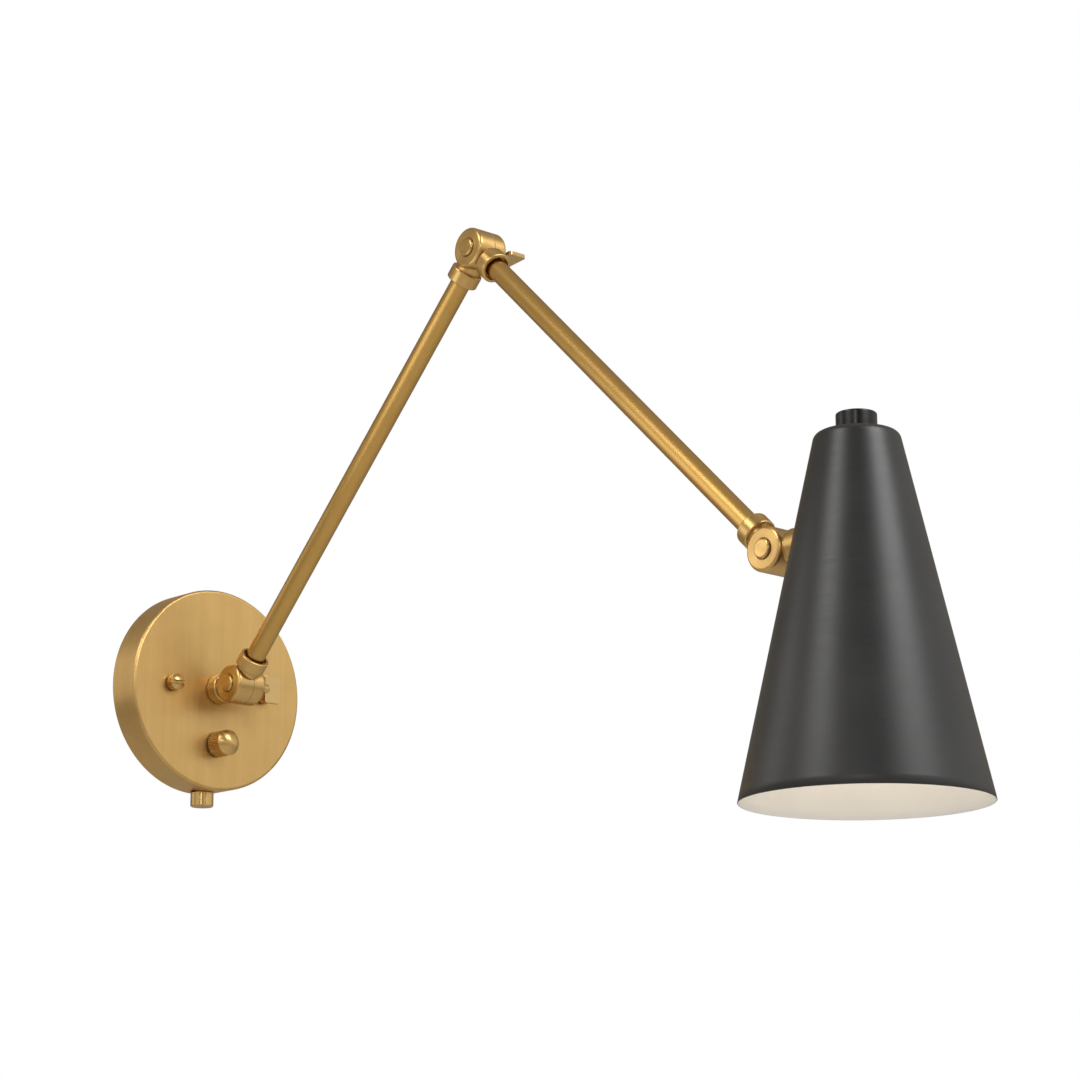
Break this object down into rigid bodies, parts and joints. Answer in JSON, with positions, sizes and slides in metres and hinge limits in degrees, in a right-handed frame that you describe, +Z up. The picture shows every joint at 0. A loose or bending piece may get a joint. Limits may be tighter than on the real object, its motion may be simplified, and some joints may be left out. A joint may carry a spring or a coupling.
{
  "type": "swing arm wall sconce",
  "caption": "Wall lamp with a round brass canopy, jointed tube arms on thumb-screw knuckles, and a black cone shade with a white inside.",
  "frame": {"origin": "middle of the canopy's back, on the wall and between the two outlet box slots", "axes": "+Z up, +Y into the wall, the arms reach out along -Y; the knuckles turn about X"},
  "size_m": [0.127, 0.6191, 0.3675],
  "materials": {
    "brass": "satin, brushed, lacquered",
    "turned_brass": "polished, turned",
    "dark_brass": "darkened, turned",
    "black_paint": "matte black outside",
    "zinc_steel": "zinc plated",
    "black_plastic": "moulded",
    "red_plastic": "moulded",
    "wire_sheath": "smooth insulation",
    "fibre": "hard fibre",
    "porcelain": "glazed",
    "nickel": "plated screw thread",
    "white_housing": "smooth",
    "lamp_board": "white coated",
    "frosted_globe": "frosted, lit"
  },
  "bodies": {
    "canopy": {"canopy": "brass", "mounting_strap": "zinc_steel", "canopy_studs": "zinc_steel", "stud_locknuts": "zinc_steel", "canopy_cap_nuts": "turned_brass", "ground_screw": "zinc_steel", "rotary_switch_body": "black_plastic", "switch_bushing_nut": "zinc_steel", "cord_outlet_nipple": "turned_brass", "cord_outlet_locknut": "turned_brass", "cord_outlet_cap": "turned_brass", "wire_nuts": "red_plastic", "canopy_wires": "wire_sheath"},
    "knob": {"dimmer_knob": "turned_brass", "switch_shaft": "zinc_steel"},
    "stem": {"canopy_knuckle": "brass", "swivel_bearing_washer": "turned_brass", "swivel_spring_washer": "zinc_steel", "swivel_locknut": "zinc_steel", "swivel_nipple": "zinc_steel", "swivel_lead": "wire_sheath"},
    "inner_arm": {"inner_arm_base_knuckle": "brass", "inner_arm_elbow_knuckle": "brass", "inner_arm_tube": "brass", "inner_arm_nipples": "zinc_steel", "inner_arm_lead": "wire_sheath", "base_pivot_screw": "turned_brass", "base_friction_washer": "fibre"},
    "outer_arm": {"outer_arm_elbow_knuckle": "brass", "outer_arm_shade_knuckle": "brass", "outer_arm_tube": "brass", "outer_arm_nipples": "zinc_steel", "outer_arm_lead": "wire_sheath", "elbow_pivot_screw": "turned_brass", "elbow_friction_washer": "fibre", "shade_pivot_screw": "turned_brass", "shade_friction_washer": "fibre"},
    "shade": {"shade_knuckle": "brass", "shade_stem_nipple": "zinc_steel", "shade_spring_washer": "zinc_steel", "shade_locknut": "zinc_steel", "shade": "black_paint", "shade_outer_saddle": "brass", "shade_inner_saddle": "zinc_steel", "shade_top_cap": "dark_brass", "socket_nipple": "zinc_steel", "socket_locknut": "zinc_steel", "socket_cup": "zinc_steel", "socket_body": "porcelain", "socket_screw_shell": "nickel", "socket_centre_contact": "turned_brass", "socket_lead": "wire_sheath", "bulb_contact_tip": "nickel", "bulb_screw_base": "nickel", "bulb_housing": "white_housing", "bulb_light_board": "lamp_board", "bulb_globe": "frosted_globe"},
    "base_thumb": {"base_thumb_screw": "turned_brass"},
    "elbow_thumb": {"elbow_thumb_screw": "turned_brass"},
    "shade_thumb": {"shade_thumb_screw": "turned_brass"}
  },
  "joints": [
    {"name": "canopy_swivel", "type": "hinge", "parent": "canopy", "child": "stem", "pos_m": [0, -0.0455, 0], "axis": [0, 1, 0], "range_deg": [-90, 90]},
    {"name": "base_hinge", "type": "hinge", "parent": "stem", "child": "inner_arm", "pos_m": [0, -0.0455, 0], "axis": [1, 0, 0], "range_deg": [-44.6, 45.4]},
    {"name": "elbow_hinge", "type": "hinge", "parent": "inner_arm", "child": "outer_arm", "pos_m": [0, -0.26949, 0.22714], "axis": [1, 0, 0], "range_deg": [-89, 12]},
    {"name": "shade_hinge", "type": "hinge", "parent": "outer_arm", "child": "shade", "pos_m": [0, -0.49973, 0.00634], "axis": [1, 0, 0], "range_deg": [-55, 60]},
    {"name": "knob_turn", "type": "hinge", "parent": "canopy", "child": "knob", "pos_m": [0, -0.03, -0.03493], "axis": [0, -1, 0], "range_deg": [0, 270]},
    {"name": "base_thumb_turn", "type": "hinge", "parent": "inner_arm", "child": "base_thumb", "pos_m": [0, -0.0455, 0], "axis": [1, 0, 0], "range_deg": [-180, 0]},
    {"name": "elbow_thumb_turn", "type": "hinge", "parent": "outer_arm", "child": "elbow_thumb", "pos_m": [0, -0.26949, 0.22714], "axis": [1, 0, 0], "range_deg": [-180, 0]},
    {"name": "shade_thumb_turn", "type": "hinge", "parent": "outer_arm", "child": "shade_thumb", "pos_m": [0, -0.49973, 0.00634], "axis": [1, 0, 0], "range_deg": [-180, 0]}
  ]
}
